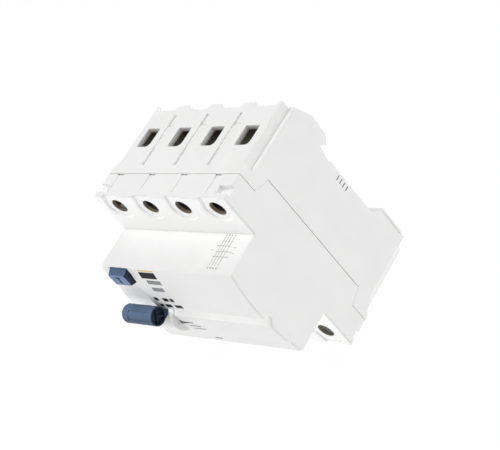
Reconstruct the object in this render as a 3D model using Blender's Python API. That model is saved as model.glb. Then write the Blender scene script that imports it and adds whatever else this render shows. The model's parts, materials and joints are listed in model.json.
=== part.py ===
"""Four-pole residual current device for a 35 mm rail, built piece by piece as it comes apart.

Lengths in this file are millimetres. A point is (x, depth, z): x to the right, depth measured back
from the nose's front edge, z up. The row frame's origin is the centre of the rail seat, NOSE_DEPTH
behind that edge, so world y = depth - NOSE_DEPTH.
"""

import math

import bmesh
import bpy
from mathutils import Matrix, Vector

MM = 0.001

# Casing, on the modular grid for rail devices
MODULE = 18.0
POLES = 4
HALF_WIDTH = MODULE * POLES / 2
HALF_HEIGHT = 41.1
NOSE_HALF = 22.3
NOSE_DEPTH = 60.1
SHOULDER = 17.0
WALL = 1.8
GAP = 0.3
POLE_X = [MODULE * (k - (POLES - 1) / 2) for k in range(POLES)]
WALL_X = [MODULE * (k - (POLES - 2) / 2) for k in range(POLES - 1)]

# Seam between cover and base: a step, a slant and a long straight run
SEAM_END = 27.9
SEAM_MID = 34.8
SEAM_STEP_Z = 31.8
SEAM_RUN_Z = 29.8

# Back of the base
SEAT_TOP = 10.3
SEAT_BOTTOM = -17.7
HEEL = 65.4
LEDGE_X = 34.0
LEDGE_Z = 36.7

# Handle: the drum turns on the pivot, the grip stands on it
PIVOT = (4.05, -7.2)
DRUM_R = 8.8
DRUM_WALL = 1.6
DRUM_X = (-31.8, -16.2)
GRIP_CENTRE = (-6.75, 1.6)
GRIP_R = 3.7
GRIP_X = (-34.6, -16.0)
GRIP_LIFT = math.atan2(GRIP_CENTRE[1] - PIVOT[1], PIVOT[0] - GRIP_CENTRE[0])
WEB_LIFT = math.radians(39.5)
WEB_HALF = 0.75
CRANK_R = 3.6
CRANK_PIN_R = 0.7
PIVOT_PIN_R = 1.1
BRACKET_X = (DRUM_X[1] + 0.8, DRUM_X[1] + 2.2)
BRACKET_DEPTH = (1.0, 9.0)
BRACKET_Z = (-10.8, -3.6)

# Test button
BUTTON_X = (-30.9, -20.9)
BUTTON_Z = (14.1, 21.3)
BUTTON_FRONT = -3.35
BUTTON_SHOULDER = -0.6
BUTTON_FLANGE = (2.2, 3.0)
WELL_FLOOR = -0.7
WELL_Z = (6.0, 9.0, 21.4)

# Terminals
SCREW_Z = 34.7
SCREW_HOLE_R = 3.3
BAY_Z = 34.3
BAY_R = 6.3
BAY_DEPTH = 0.9
SCREW_HEAD_R = 2.9
SCREW_SHAFT_R = 1.9
SCREW_DEPTH = (24.0, 27.0, 40.1)
ENTRY_X = 3.5
ENTRY = (41.2, 50.2)
POCKET_X = 6.0
POCKET_Z = 39.0
TONGUE = 41.15
TONGUE_Z = 38.2
CAGE_FRONT = 37.6
CAGE_BACK = 52.4
CAGE_Z = (31.2, 38.4)

# Contacts and measuring transformer
CARRIER = (27.0, 30.3)
CARRIER_Z = (4.0, 24.0)
FIXED_BAR = 34.0
BAR_THICK = 1.3
BAR_X = 3.0
PAD_Z = (9.5, 18.5)
PAD_R = 1.8
PAD_HIGH = 0.8
TOROID = (0.0, 43.0, -9.0)
CORE_R = (7.2, 11.6)
CORE_HALF = 3.8
WIRE_R = 1.5

# Trip unit
RELAY = ((4, 5, -10), (26, 18, 8))
PLUNGER = (-1.9, 11.0, 3.0)
LEVER_PIN = (-3.0, 11.0, -9.0)

# Rail clip
CLIP_X = 8.0
CLIP_SLOT = (60.3, 63.9)
CLIP_BOTTOM = -40.8


# ---------------------------------------------------------------- helpers


def world(x, depth, z):
    return Vector((x, depth - NOSE_DEPTH, z)) * MM


def finish(name, colour, roughness, metallic=0.0):
    """A Principled material of one colour."""
    made = bpy.data.materials.get(name) or bpy.data.materials.new(name)
    made.use_nodes = True
    shader = made.node_tree.nodes["Principled BSDF"]
    shader.inputs["Base Color"].default_value = (*colour, 1.0)
    shader.inputs["Roughness"].default_value = roughness
    shader.inputs["Metallic"].default_value = metallic
    return made


def block(lo, hi):
    """A box between two opposite corners, given in any order."""
    mesh = bmesh.new()
    bmesh.ops.create_cube(mesh, size=1.0)
    a, b = world(*map(min, lo, hi)), world(*map(max, lo, hi))
    for vert in mesh.verts:
        vert.co = Vector([a[i] + (vert.co[i] + 0.5) * (b[i] - a[i]) for i in range(3)])
    return mesh


def prism(outline, x0, x1):
    """A (depth, z) outline stretched between two x planes."""
    mesh = bmesh.new()
    face = mesh.faces.new([mesh.verts.new(world(x0, d, z)) for d, z in outline])
    grown = bmesh.ops.extrude_face_region(mesh, geom=[face])["geom"]
    moved = [v for v in grown if isinstance(v, bmesh.types.BMVert)]
    bmesh.ops.translate(mesh, verts=moved, vec=Vector((x1 - x0, 0, 0)) * MM)
    bmesh.ops.recalc_face_normals(mesh, faces=mesh.faces)
    return mesh


def hull(points):
    """The smallest convex solid round some world points."""
    mesh = bmesh.new()
    for point in points:
        mesh.verts.new(point)
    made = bmesh.ops.convex_hull(mesh, input=mesh.verts)
    spare = [v for v in made["geom_interior"] if isinstance(v, bmesh.types.BMVert)]
    bmesh.ops.delete(mesh, geom=spare, context="VERTS")
    bmesh.ops.recalc_face_normals(mesh, faces=mesh.faces)
    return mesh


def mirrored_up(outline):
    """The same (depth, z) outline below the middle plane."""
    return [(d, -z) for d, z in reversed(outline)]


def strip(path, thick, x0, x1):
    """A bent flat bar: the (depth, z) path is its middle line, with mitred corners."""
    points = [Vector(p) for p in path]
    headings = [(b - a).normalized() for a, b in zip(points, points[1:])]
    sides = []
    for i, point in enumerate(points):
        before, after = headings[max(i - 1, 0)], headings[min(i, len(headings) - 1)]
        along = (before + after).normalized()
        reach = Vector((-along.y, along.x)) * (thick / 2 / along.dot(after))
        sides.append((point + reach, point - reach))
    outline = [s[0] for s in sides] + [s[1] for s in reversed(sides)]
    return prism([(p.x, p.y) for p in outline], x0, x1)


def rod(centre, radius, length, axis, sides=20):
    """A cylinder along the X, Y or Z axis, centred on a point."""
    mesh = bmesh.new()
    bmesh.ops.create_cone(
        mesh, cap_ends=True, segments=sides, radius1=radius * MM, radius2=radius * MM, depth=length * MM
    )
    turn = {"X": Matrix.Rotation(math.pi / 2, 4, "Y"), "Y": Matrix.Rotation(math.pi / 2, 4, "X")}
    mesh.transform(turn.get(axis, Matrix.Identity(4)))
    mesh.transform(Matrix.Translation(world(*centre)))
    return mesh


def turned(profile, centre, sides=28):
    """A solid turned about an X axis from (x, radius) points that start and end on the axis."""
    mesh = bmesh.new()
    rings = []
    for x, radius in profile:
        if radius == 0:
            rings.append([mesh.verts.new(world(x, *centre))])
            continue
        turns = [2 * math.pi * k / sides for k in range(sides)]
        spots = [(centre[0] + radius * math.cos(t), centre[1] + radius * math.sin(t)) for t in turns]
        rings.append([mesh.verts.new(world(x, d, z)) for d, z in spots])
    for first, second in zip(rings, rings[1:]):
        for k in range(sides):
            corners = [first[k % len(first)], first[(k + 1) % len(first)]]
            corners += [second[(k + 1) % len(second)], second[k % len(second)]]
            mesh.faces.new(list(dict.fromkeys(corners)))
    bmesh.ops.recalc_face_normals(mesh, faces=mesh.faces)
    return mesh


def tube(path, radius, sides=8):
    """A round wire along world points, its ring turned as little as possible from point to point."""
    mesh = bmesh.new()
    tangent = (path[1] - path[0]).normalized()
    side = tangent.orthogonal().normalized()
    rings = []
    for i, point in enumerate(path):
        ahead = (path[min(i + 1, len(path) - 1)] - point).normalized()
        behind = (point - path[max(i - 1, 0)]).normalized()
        tangent = (ahead + behind).normalized()
        side = (side - tangent * side.dot(tangent)).normalized()
        other = tangent.cross(side)
        ring = []
        for k in range(sides):
            turn = 2 * math.pi * k / sides
            spoke = side * math.cos(turn) + other * math.sin(turn)
            ring.append(mesh.verts.new(point + spoke * radius * MM))
        rings.append(ring)
    for first, second in zip(rings, rings[1:]):
        for k in range(sides):
            mesh.faces.new([first[k], first[(k + 1) % sides], second[(k + 1) % sides], second[k]])
    mesh.faces.new(list(reversed(rings[0])))
    mesh.faces.new(rings[-1])
    bmesh.ops.recalc_face_normals(mesh, faces=mesh.faces)
    return mesh


def coil(start, axis, radius, length, turns, wire, steps=10):
    """An open helical spring that grows from its start point along an axis."""
    along = {"X": Vector((1, 0, 0)), "Y": Vector((0, 1, 0)), "Z": Vector((0, 0, 1))}[axis]
    side = {"X": Vector((0, 1, 0)), "Y": Vector((0, 0, 1)), "Z": Vector((1, 0, 0))}[axis]
    other = along.cross(side)
    path = []
    for i in range(turns * steps + 1):
        turn = 2 * math.pi * i / steps
        spoke = side * math.cos(turn) + other * math.sin(turn)
        rise = along * length * i / (turns * steps)
        path.append(world(*start) + (spoke * radius + rise) * MM)
    return tube(path, wire, 5)


def piece(name, mesh, look, pivot=None, smooth=False):
    """One named solid. A pivot, a point (x, depth, z), becomes the object's origin."""
    data = bpy.data.meshes.new(name)
    origin = world(*pivot) if pivot else Vector((0, 0, 0))
    mesh.transform(Matrix.Translation(-origin))
    mesh.to_mesh(data)
    mesh.free()
    if smooth:
        data.shade_smooth()
        data.set_sharp_from_angle(angle=math.radians(35))
    data.materials.append(look)
    made = bpy.data.objects.new(name, data)
    made.location = origin
    bpy.context.scene.collection.objects.link(made)
    return made


def shape(target, tool, operation):
    """Cuts a tool mesh from a piece, or joins it on. The tool stays as a hidden guide."""
    data = bpy.data.meshes.new(f"tool_{target.name}")
    tool.to_mesh(data)
    tool.free()
    guide = bpy.data.objects.new(f"tool_{target.name}_{len(target.modifiers)}", data)
    guide.hide_render = True
    guide.display_type = "WIRE"
    bpy.context.scene.collection.objects.link(guide)
    step = target.modifiers.new(operation.lower(), "BOOLEAN")
    step.operation = operation
    step.solver = "EXACT"
    step.object = guide


def cut(target, tool):
    shape(target, tool, "DIFFERENCE")


def join(target, tool):
    shape(target, tool, "UNION")


def arc(centre, radius, start, stop, steps):
    """Points (depth, z) on an arc; angles in degrees run from the front (-depth) upwards."""
    points = []
    for i in range(steps + 1):
        turn = math.radians(start + (stop - start) * i / steps)
        points.append((centre[0] - radius * math.cos(turn), centre[1] + radius * math.sin(turn)))
    return points


# ---------------------------------------------------------------- casing

PLASTIC = finish("white_plastic", (0.80, 0.80, 0.79), 0.35)
BLUE_PLASTIC = finish("blue_grey_plastic", (0.10, 0.14, 0.20), 0.35)
DARK_PLASTIC = finish("dark_plastic", (0.05, 0.05, 0.055), 0.45)
STEEL = finish("zinc_steel", (0.55, 0.54, 0.50), 0.35, 1.0)
SPRING_STEEL = finish("spring_steel", (0.60, 0.60, 0.60), 0.25, 1.0)
COPPER = finish("copper", (0.80, 0.42, 0.25), 0.3, 1.0)
BRASS = finish("brass", (0.75, 0.58, 0.30), 0.3, 1.0)
CORE_TAPE = finish("core_tape", (0.20, 0.23, 0.27), 0.5)
RESISTOR = finish("resistor_body", (0.55, 0.42, 0.28), 0.5)


def front_face(z):
    """Depth of the nose's crowned front face above the groove."""
    crown_z, crown, bow = 2.5, -2.4, 90.0
    return crown + (z - crown_z) ** 2 / (2 * bow)


def nose_outline():
    """Front of the nose from its top corner to its bottom corner."""
    crown = [(front_face(z), z) for z in (21.6, 18.0, 14.0, 10.0, 6.0, 2.5)]
    groove = [(-2.2, 0.2), (-0.65, -0.5), (-0.1, -1.5), (-0.3, -2.7), (-2.2, -4.4)]
    panel = [(-1.4, -14.0), (-1.2, -14.5), (-0.6, -15.1), (0.0, -21.3)]
    return [(0.4, NOSE_HALF - 0.1)] + crown + groove + panel + [(0.9, -NOSE_HALF + 0.1)]


def seam(shift):
    """The cover's edge, top to bottom, moved back by a gap for the base's edge."""
    upper = [(SEAM_END + shift, SEAM_STEP_Z + shift), (SEAM_MID + shift, SEAM_RUN_Z + shift)]
    return upper + mirrored_up(upper)


def front_cover():
    upper = [(SHOULDER, -NOSE_HALF), (SHOULDER, -HALF_HEIGHT), (SEAM_END, -HALF_HEIGHT)]
    outline = mirrored_up(upper) + nose_outline() + upper + list(reversed(seam(0)))
    cover = piece("front_cover", prism(outline, -HALF_WIDTH, HALF_WIDTH), PLASTIC)
    nose_floor, body_floor, roof, eaves = 1.9, SHOULDER + 2.4, NOSE_HALF - WALL, HALF_HEIGHT - WALL
    upper = [(50, eaves), (body_floor, eaves), (body_floor, roof), (nose_floor, roof)]
    cut(cover, prism(upper + mirrored_up(upper), WALL - HALF_WIDTH, HALF_WIDTH - WALL))
    join(cover, block(*zip(BRACKET_X, BRACKET_DEPTH, BRACKET_Z)))
    opening = DRUM_X[1] - DRUM_X[0] + 2 * GAP
    cut(cover, rod((sum(DRUM_X) / 2, *PIVOT), DRUM_R + GAP, opening, "X", 40))
    cut(cover, rod((sum(BRACKET_X) / 2, *PIVOT), PIVOT_PIN_R + GAP, 6, "X", 16))
    button_well(cover)
    for side in (1, -1):
        for x in POLE_X:
            shoulder_bay(cover, x, side)
        for end in (1, -1):
            corner_notch(cover, end, side)
    return cover


def shoulder_bay(cover, x, side):
    """A shallow round bay, open at the cover's edge, with the screw's hole in its floor."""
    front, floor, beyond, slit = SHOULDER - 2, SHOULDER + BAY_DEPTH, 43.0, 0.8
    cut(cover, rod((x, (front + floor) / 2, side * BAY_Z), BAY_R, floor - front, "Y", 32))
    cut(cover, block((x - 4, front, side * BAY_Z), (x + 4, floor, side * beyond)))
    cut(cover, rod((x, SHOULDER + 2, side * SCREW_Z), SCREW_HOLE_R, 8, "Y", 20))
    window = side * (HALF_HEIGHT - 0.9)
    cut(cover, block((x - 3.1, SEAM_END - slit, window), (x + 0.5, SEAM_END + 1, side * beyond)))


def corner_notch(cover, end, side):
    """A catch pocket at the outer end of the strip behind the shoulder, with a solid floor."""
    inner, front, back, floor = 29.9, 19.3, 22.8, 39.4
    near, far = (end * (inner - 1), front - 1, side * (floor - 1.5)), (end * 35, back + 1, side * (floor + 1))
    join(cover, block(near, far))
    cut(cover, block((end * inner, front, side * floor), (end * 38, back, side * 43)))


def button_well(cover):
    """The sunk area round the test button and the button's own hole."""
    low, floor_low, floor_high = WELL_Z
    floor = [(front_face(low), low), (WELL_FLOOR, floor_low), (WELL_FLOOR, floor_high)]
    outline = [(-9, 24.5), (-9, low)] + floor + [(0.2, 24.5)]
    cut(cover, prism(outline, -HALF_WIDTH - 1, BUTTON_X[1] + 1.2))
    low_corner = (BUTTON_X[0] - GAP, -6, BUTTON_Z[0] - GAP)
    high_corner = (BUTTON_X[1] + GAP, 5.2, BUTTON_Z[1] + GAP)
    cut(cover, block(low_corner, high_corner))


def base_side_outline():
    """Outline of the base at its outer sides, where the ledges run."""
    top = [(SEAM_END + GAP, HALF_HEIGHT), (30.5, HALF_HEIGHT), (32.3, LEDGE_Z), (62.3, LEDGE_Z)]
    hook = [(65.9, 28.2), (65.5, 19.0), (62.9, 16.1), (60.6, 18.3), (59.4, 11.7)]
    seat = [(NOSE_DEPTH, SEAT_TOP), (NOSE_DEPTH, SEAT_BOTTOM)]
    heel = [(HEEL, -21.6), (HEEL, -35.2), (64.4, -36.0), (64.9, -37.6)]
    foot = [(36.3, -37.6), (35.3, -39.0), (31.5, -39.5), (30.4, -HALF_HEIGHT)]
    foot += [(SEAM_END + GAP, -HALF_HEIGHT)]
    return top + hook + seat + heel + foot + list(reversed(seam(GAP)))


def rear_base():
    base = piece("rear_base", prism(base_side_outline(), -HALF_WIDTH, HALF_WIDTH), PLASTIC)
    inner_x, back_in, room_z, beyond = HALF_WIDTH - WALL, 57.9, 26.0, 43.0
    for side in (1, -1):
        low_corner = (-LEDGE_X, SEAM_END + GAP, side * (room_z + 4.5))
        join(base, block(low_corner, (LEDGE_X, 61.5, side * HALF_HEIGHT)))
    cut(base, block((-inner_x, 20, -room_z), (inner_x, back_in, room_z)))
    for side in (1, -1):
        room, pocket = side * (room_z - 1), side * POCKET_Z
        shallow, top = side * (POCKET_Z - 0.5), side * beyond
        for x in POLE_X:
            cut(base, block((x - POCKET_X, 20, room), (x + POCKET_X, back_in - 1, pocket)))
            cut(base, block((x - ENTRY_X, ENTRY[0], shallow), (x + ENTRY_X, ENTRY[1], top)))
            cut(base, block((x - 5, 59.5, shallow), (x + 5, 63.0, top)))
        for x in WALL_X:
            cut(base, block((x - 2.0, 32.0, side * 39.6), (x - 0.7, 56.5, top)))
            cut(base, block((x - 2.0, 40.5, side * 40.3), (x + 2.0, 51.5, top)))
    clip_channel(base)
    return base


def clip_channel(base):
    """The rail clip's guide, open at the bottom and the back, and the post its spring stands on."""
    front, back = CLIP_SLOT
    slot_top, window_top, beyond = -14.2, -13.8, -50
    cut(base, block((-CLIP_X - GAP, front, beyond), (CLIP_X + GAP, back, slot_top)))
    cut(base, block((-CLIP_X + 2, front + 1, beyond), (CLIP_X - 2, back + 6, window_top)))
    join(base, block((-1.8, front - 1, -33.4), (1.8, back - 1.3, -31.9)))


# ---------------------------------------------------------------- controls


def handle_drum():
    centre_x = sum(DRUM_X) / 2
    width = DRUM_X[1] - DRUM_X[0]
    start, stop = -52, 126
    shell = arc(PIVOT, DRUM_R, start, stop, 24) + arc(PIVOT, DRUM_R - DRUM_WALL, stop, start, 24)
    pivot = (centre_x, *PIVOT)
    drum = piece("handle_drum", prism(shell, *DRUM_X), PLASTIC, pivot, smooth=True)
    for x in (DRUM_X[0] + DRUM_WALL / 2, DRUM_X[1] - DRUM_WALL / 2):
        join(drum, rod((x, *PIVOT), DRUM_R, DRUM_WALL, "X", 48))
    join(drum, rod(pivot, 2.2, width, "X", 16))
    across, up = CRANK_R * math.sin(GRIP_LIFT), CRANK_R * math.cos(GRIP_LIFT)
    crank = (centre_x, PIVOT[0] + across, PIVOT[1] + up)
    join(drum, rod(crank, CRANK_PIN_R, width, "X", 12))
    cut(drum, rod(pivot, PIVOT_PIN_R + GAP, width + 2, "X", 16))
    inner, outer, inset = DRUM_R - DRUM_WALL - 0.6, DRUM_R + 1, 1.8
    slot = radial_plate(inner, outer, WEB_HALF + GAP, DRUM_X[0] + inset, DRUM_X[1] - inset)
    cut(drum, slot)
    return drum


def radial_plate(inner, outer, half_thick, x0, x1):
    """A flat plate standing on the drum along the web's direction."""
    out = Vector((-math.cos(WEB_LIFT), math.sin(WEB_LIFT)))
    across = Vector((out.y, -out.x)) * half_thick
    middle = Vector(PIVOT)
    corners = [middle + out * inner + across, middle + out * outer + across]
    corners += [middle + out * outer - across, middle + out * inner - across]
    return prism([(p.x, p.y) for p in corners], x0, x1)


def handle_grip():
    """The barrel, its web, and the narrower tongue that plugs into the drum's slot."""
    x0, x1 = GRIP_X
    chamfer, rim, web_top, inset = 1.6, 0.9, 13.5, 1.8 + GAP
    profile = [(x0, 0), (x0, GRIP_R - chamfer), (x0 + chamfer, GRIP_R), (x1, GRIP_R), (x1, 0)]
    mesh = turned(profile, GRIP_CENTRE)
    pivot = (sum(DRUM_X) / 2, *PIVOT)
    grip = piece("handle_grip", mesh, BLUE_PLASTIC, pivot, smooth=True)
    join(grip, radial_plate(DRUM_R + GAP, web_top, WEB_HALF, DRUM_X[0] + 0.8, x1 - 0.1))
    tongue_x = (DRUM_X[0] + inset, DRUM_X[1] - inset)
    join(grip, radial_plate(DRUM_R - DRUM_WALL - 0.5, DRUM_R + 2, WEB_HALF, *tongue_x))
    cut(grip, rod((x1 - 2.0, *GRIP_CENTRE), GRIP_R - rim, 6, "X", 20))
    return grip


def handle_pivot_pin():
    x0, x1 = WALL - HALF_WIDTH + GAP, BRACKET_X[1] + 1.0
    mesh = rod(((x0 + x1) / 2, *PIVOT), PIVOT_PIN_R, x1 - x0, "X", 16)
    return piece("handle_pivot_pin", mesh, STEEL, smooth=True)


def handle_spring():
    start = (WALL - HALF_WIDTH + 0.7, *PIVOT)
    return piece("handle_spring", coil(start, "X", 1.65, 1.3, 2, 0.2, 12), SPRING_STEEL, smooth=True)


def drive_link():
    """A flat bar: its fork straddles the drum's crank pin and its foot stands on the carrier."""
    pin = PIVOT[0] + CRANK_R * math.sin(GRIP_LIFT)
    fork_top, slot_top, fork_foot, bar_low, foot_top = -1.8, -2.6, -4.6, -3.3, 12.0
    near, far = pin - CRANK_PIN_R - GAP, pin + CRANK_PIN_R + GAP
    tine, foot, foot_thick = 0.9, CARRIER[0] - GAP, 1.6
    outline = [(near - tine, fork_top), (near - tine, fork_foot), (near, fork_foot)]
    outline += [(near, slot_top), (far, slot_top), (far, fork_foot)]
    outline += [(far + tine, fork_foot), (far + tine, bar_low), (foot, bar_low), (foot, foot_top)]
    outline += [(foot - foot_thick, foot_top), (foot - foot_thick, fork_top)]
    middle, half_width = sum(DRUM_X) / 2, 1.5
    mesh = prism(outline, middle - half_width, middle + half_width)
    return piece("drive_link", mesh, STEEL, (middle, pin, fork_top))


def test_button():
    x0, x1 = BUTTON_X
    z0, z1 = BUTTON_Z
    front, back = BUTTON_FLANGE
    x, z, stem, stem_end = (x0 + x1) / 2, (z0 + z1) / 2, 2.0, 8.0
    corners = [world(u, d, v) for d in (front, BUTTON_SHOULDER) for u in (x0, x1) for v in (z0, z1)]
    corners += [world(u, BUTTON_FRONT, v) for u in (x0 + 0.8, x1 - 0.4) for v in (z0 + 0.8, z1 - 1.0)]
    button = piece("test_button", hull(corners), BLUE_PLASTIC, (x, BUTTON_FRONT, z))
    join(button, block((x0 - 1.1, front, z0 - 1.0), (x1 + 1.1, back, z1 - 1.0)))
    join(button, block((x - stem, front - 0.2, z - stem), (x + stem, stem_end, z + stem)))
    return button


def test_circuit():
    """Leaf spring behind the button, the strip it touches and the test resistor."""
    x, half = sum(BUTTON_X) / 2, 1.8
    leaf = strip([(8.5, 19.6), (8.5, 6.0), (12.5, 4.0)], 0.3, x - half, x + half)
    piece("test_contact_spring", leaf, BRASS)
    contact = strip([(15.5, 19.4), (11.6, 19.4), (11.6, 15.5)], 0.4, x - half, x + half)
    piece("test_contact_strip", contact, BRASS)
    middle, body_r, body_long, wire_r, wire_long = (x, 15.0, 11.5), 1.8, 8.0, 0.35, 14.0
    body = rod(middle, body_r, body_long, "X", 16)
    resistor = piece("test_resistor", body, RESISTOR, smooth=True)
    join(resistor, rod(middle, wire_r, wire_long, "X", 8))


# ---------------------------------------------------------------- contacts


def contact_carrier():
    z0, z1 = CARRIER_Z
    front, back = CARRIER
    half_x, nest_x, window_x = 32.0, 4.2, 2.0
    mesh = block((-half_x, front, z0), (half_x, back, z1))
    carrier = piece("contact_carrier", mesh, DARK_PLASTIC, (0, front, sum(CARRIER_Z) / 2))
    for x in POLE_X:
        cut(carrier, block((x - nest_x, back - 1.5, z0 + 2.5), (x + nest_x, back + 1, z1 - 2.5)))
    for x in WALL_X:
        cut(carrier, block((x - window_x, front - 1, z0 + 4), (x + window_x, back + 1, z1 - 4)))
    return carrier


def moving_contact(number, x):
    """A bridge with a pad at each end, just clear of the two fixed pads."""
    pad_face = FIXED_BAR - BAR_THICK / 2 - PAD_HIGH - GAP
    half_x, reach_z, back, front = 2.6, 2.5, pad_face - 0.7, pad_face - 2.6
    mesh = block((x - half_x, front, PAD_Z[0] - reach_z), (x + half_x, back, PAD_Z[1] + reach_z))
    bridge = piece(f"moving_contact_{number}", mesh, COPPER)
    for z in PAD_Z:
        join(bridge, rod((x, pad_face - 0.6, z), PAD_R, 1.2, "Y", 14))
    return bridge


def fixed_pad(bar, x, z):
    """The round contact pad on the front of a fixed bar."""
    face, depth = FIXED_BAR - BAR_THICK / 2, PAD_HIGH + 0.2
    join(bar, rod((x, face + 0.2 - depth / 2, z), PAD_R, depth, "Y", 14))


def line_terminal_bar(number, x):
    shelf, foot = 27.6, PAD_Z[1] - 2.7
    path = [(TONGUE, TONGUE_Z), (TONGUE, shelf), (FIXED_BAR, shelf), (FIXED_BAR, foot)]
    mesh = strip(path, BAR_THICK, x - BAR_X, x + BAR_X)
    bar = piece(f"line_terminal_bar_{number}", mesh, COPPER)
    fixed_pad(bar, x, PAD_Z[1])
    return bar


def load_conductor(number, x):
    """Fixed contact, round conductor through the transformer and terminal tongue, in one."""
    inner = abs(x) < MODULE
    side = math.copysign(1, x)
    slot_x, slot_depth = side * 2.4, TOROID[1] + (2.3 if inner else -2.3)
    over, under = (4.5, -22.0) if inner else (1.0, -18.2)
    foot = TONGUE + 1.0
    path = [(x, FIXED_BAR, 6.5), (x, FIXED_BAR + 1.5, over), (side * 5, slot_depth - 1.0, over)]
    path += [(slot_x, slot_depth, over - 2.5), (slot_x, slot_depth, under + 2.5)]
    path += [(side * 5, slot_depth - 0.5, under), (x - side * 2, foot, under)]
    path += [(x, foot, under - 3), (x, foot, -31.0)]
    mesh = tube([world(*p) for p in path], WIRE_R, 8)
    conductor = piece(f"load_conductor_{number}", mesh, COPPER)
    join(conductor, strip([(FIXED_BAR, 12.2), (FIXED_BAR, 5.4)], BAR_THICK, x - BAR_X, x + BAR_X))
    fixed_pad(conductor, x, PAD_Z[0])
    tongue = [(TONGUE, -26.8), (TONGUE, -TONGUE_Z)]
    join(conductor, strip(tongue, BAR_THICK, x - BAR_X, x + BAR_X))
    return conductor


def toroid():
    """Ring core of the measuring transformer and the coil wound on part of it."""
    x, depth, z = TOROID
    ring = rod(TOROID, CORE_R[1], 2 * CORE_HALF, "Z", 36)
    core = piece("toroid_core", ring, CORE_TAPE, smooth=True)
    cut(core, rod(TOROID, CORE_R[0], 2 * CORE_HALF + 2, "Z", 32))
    turns, wire, steps, first, spread = 16, 0.28, 8, 20, 250
    half_r, half_z = (CORE_R[1] - CORE_R[0]) / 2 + 0.75, CORE_HALF + 0.7
    path = []
    for i in range(turns * steps + 1):
        around = math.radians(first + spread * i / (turns * steps))
        turn = 2 * math.pi * i / steps
        # A squared-off loop keeps the wire outside the core's corners.
        c, s = math.cos(turn), math.sin(turn)
        square = 1 / max(abs(c), abs(s))
        reach = sum(CORE_R) / 2 + half_r * c * square
        across, back = reach * math.cos(around), reach * math.sin(around)
        path.append(world(x + across, depth + back, z + half_z * s * square))
    piece("toroid_winding", tube(path, wire, 5), COPPER, smooth=True)


# ---------------------------------------------------------------- trip unit


def trip_unit():
    """The sealed relay, its plunger, and the lever on its own pin that the plunger pushes."""
    plunger_r, plunger_long, pin_r, hub_r = 1.2, 8.0, 1.0, 2.4
    tip, depth, z = PLUNGER
    relay = piece("trip_relay_body", block(*RELAY), DARK_PLASTIC)
    cut(relay, rod((RELAY[0][0] + 2, depth, z), plunger_r + GAP, plunger_long, "X", 14))
    plunger = rod((tip + plunger_long / 2, depth, z), plunger_r, plunger_long, "X", 14)
    piece("trip_relay_plunger", plunger, STEEL, PLUNGER, smooth=True)
    x, depth, z = LEVER_PIN
    blade = block((x - 0.8, depth - 2, z - 2), (x + 0.8, depth + 2, z + 15))
    lever = piece("trip_lever", blade, DARK_PLASTIC, LEVER_PIN)
    join(lever, rod(LEVER_PIN, hub_r, 4.0, "Y", 16))
    cut(lever, rod(LEVER_PIN, pin_r + GAP, 8.0, "Y", 14))
    pin = rod((x, depth - 1.5, z), pin_r, 12.0, "Y", 14)
    piece("trip_lever_pin", pin, STEEL, smooth=True)


def carrier_spring():
    """Opening spring between the cover's floor and the contact carrier."""
    start, radius, length, turns, wire = (0, 20.2, 14), 2.6, 6.2, 5, 0.3
    mesh = coil(start, "Y", radius, length, turns, wire)
    return piece("carrier_spring", mesh, SPRING_STEEL, smooth=True)


# ---------------------------------------------------------------- terminals


def terminal_screw(name, x, side):
    z = side * SCREW_Z
    front, back, tip = SCREW_DEPTH
    mesh = rod((x, (front + back) / 2, z), SCREW_HEAD_R, back - front, "Y", 20)
    screw = piece(name, mesh, STEEL, (x, front, z), smooth=True)
    shaft = tip - back + 0.4
    join(screw, rod((x, tip - shaft / 2, z), SCREW_SHAFT_R, shaft, "Y", 16))
    long, narrow = 2.0, 0.45
    for half_x, half_z in ((long, narrow), (narrow, long)):
        cut(screw, block((x - half_x, front - 1, z - half_z), (x + half_x, front + 1.5, z + half_z)))
    return screw


def clamp_cage(name, x, side):
    lo, hi = sorted((side * CAGE_Z[0], side * CAGE_Z[1]))
    outer, inner, nut, floor = 5.2, 4.0, 2.5, 1.5
    mesh = block((x - outer, CAGE_FRONT, lo), (x + outer, CAGE_BACK, hi))
    cage = piece(name, mesh, STEEL)
    mouth_lo = (x - inner, CAGE_FRONT + nut, lo - 1)
    cut(cage, block(mouth_lo, (x + inner, CAGE_BACK - floor, hi + 1)))
    cut(cage, rod((x, CAGE_FRONT, side * SCREW_Z), SCREW_SHAFT_R + GAP, 8, "Y", 16))
    return cage


def terminals():
    for number, x in enumerate(POLE_X, 1):
        for row, side in (("line", 1), ("load", -1)):
            terminal_screw(f"{row}_terminal_screw_{number}", x, side)
            clamp_cage(f"{row}_clamp_cage_{number}", x, side)


# ---------------------------------------------------------------- rail clip


def rail_clip():
    """The sliding clip that catches the rail's lower edge, and the spring in its window."""
    front, back = CLIP_SLOT[0] + GAP, CLIP_SLOT[1] - GAP
    edge, shoulder, window = 0.9, -18.0, (-38.0, -23.8)
    outline = [(front + edge, -15.2), (back, -17.4), (back, CLIP_BOTTOM), (front, CLIP_BOTTOM)]
    outline += [(front, shoulder), (front + edge, shoulder)]
    mesh = prism(outline, -CLIP_X, CLIP_X)
    clip = piece("rail_clip", mesh, DARK_PLASTIC, (0, front, CLIP_BOTTOM))
    cut(clip, block((-2.2, front - 1, window[0]), (2.2, back + 1, window[1])))
    spring = coil((0, (front + back) / 2, -31.5), "Z", 1.0, 7.3, 6, 0.2, 8)
    piece("rail_clip_spring", spring, SPRING_STEEL, smooth=True)


def build():
    for old in list(bpy.data.objects):
        bpy.data.objects.remove(old)
    front_cover()
    rear_base()
    handle_drum()
    handle_grip()
    handle_pivot_pin()
    handle_spring()
    drive_link()
    test_button()
    test_circuit()
    contact_carrier()
    carrier_spring()
    for number, x in enumerate(POLE_X, 1):
        moving_contact(number, x)
        line_terminal_bar(number, x)
        load_conductor(number, x)
    toroid()
    trip_unit()
    terminals()
    rail_clip()


build()
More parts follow.
